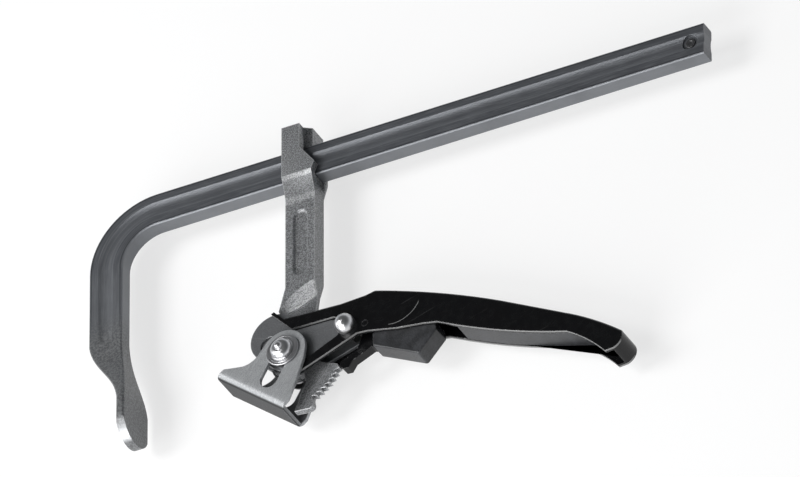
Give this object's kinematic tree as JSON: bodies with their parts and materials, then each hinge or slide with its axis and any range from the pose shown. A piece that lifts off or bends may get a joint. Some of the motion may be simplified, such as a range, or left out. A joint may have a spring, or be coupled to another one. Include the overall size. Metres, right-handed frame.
{
  "type": "quick release bar clamp",
  "caption": "Steel lever bar clamp: grooved rail bent into a forged fixed jaw, sliding arm, cam lever with ratchet pawl and trigger, and a swivelling pressure plate.",
  "frame": {"origin": "on the face of the fixed jaw, level with the pivot of the lever, in the middle of the clamp's thickness", "axes": "+X along the rail from the fixed jaw to its free end, +Y from the jaws to the rail, +Z out of the side with the polished rivets, up when the clamp lies on its side"},
  "size_m": [0.4054, 0.2307, 0.0418],
  "materials": {
    "rail_steel": "dark drawn steel, satin",
    "forged_steel": "grainy forged steel, tumbled",
    "plate_steel": "galvanised sheet, satin",
    "cam_steel": "plain sheet steel, satin",
    "washer_steel": "bright zinc",
    "polished_steel": "polished",
    "pin_steel": "oiled dark steel",
    "lever_paint": "gloss black",
    "black_plastic": "textured black"
  },
  "bodies": {
    "rail": {"rail_with_fixed_jaw": "rail_steel", "rail_stop_pin": "pin_steel"},
    "arm": {"sliding_arm": "forged_steel", "pivot_bush": "pin_steel"},
    "lever": {"lever_channel": "lever_paint", "front_cam_plate": "cam_steel", "rear_cam_plate": "cam_steel", "front_lever_rivet": "polished_steel", "rear_lever_rivet": "polished_steel", "handle_filler": "black_plastic", "pawl_pin": "pin_steel"},
    "pivot": {"pivot_pin": "pin_steel", "front_pivot_washer": "washer_steel", "front_spacer_ring": "washer_steel", "front_pivot_cap": "polished_steel", "rear_pivot_washer": "washer_steel", "rear_spacer_ring": "washer_steel", "rear_pivot_cap": "polished_steel"},
    "plate": {"pressure_plate": "plate_steel"},
    "trigger": {"pawl": "cam_steel", "release_trigger": "black_plastic"}
  },
  "joints": [
    {"name": "arm_slide", "type": "slide", "parent": "rail", "child": "arm", "axis": [1, 0, 0], "range_m": [-0.058, 0.242]},
    {"name": "lever_swing", "type": "hinge", "parent": "arm", "child": "lever", "pos_m": [0.1038, 0, 0], "axis": [0, 0, 1], "range_deg": [-40, 0]},
    {"name": "plate_swivel", "type": "hinge", "parent": "arm", "child": "pivot", "pos_m": [0.1038, 0, 0], "axis": [0, 0, 1], "range_deg": [-60, 0]},
    {"name": "plate_travel", "type": "slide", "parent": "pivot", "child": "plate", "axis": [0.4894, 0.8721, 0], "range_m": [0, 0.00701]},
    {"name": "pawl_release", "type": "hinge", "parent": "lever", "child": "trigger", "pos_m": [0.1558, 0.0045, 0], "axis": [0, 0, 1], "range_deg": [0, 8], "stiffness_Nm_per_rad": 0.3, "springref_deg": -5.73}
  ],
  "couplings": [
    {"joint": "plate_travel", "follows": "lever_swing", "m_per_rad": -0.010027}
  ]
}
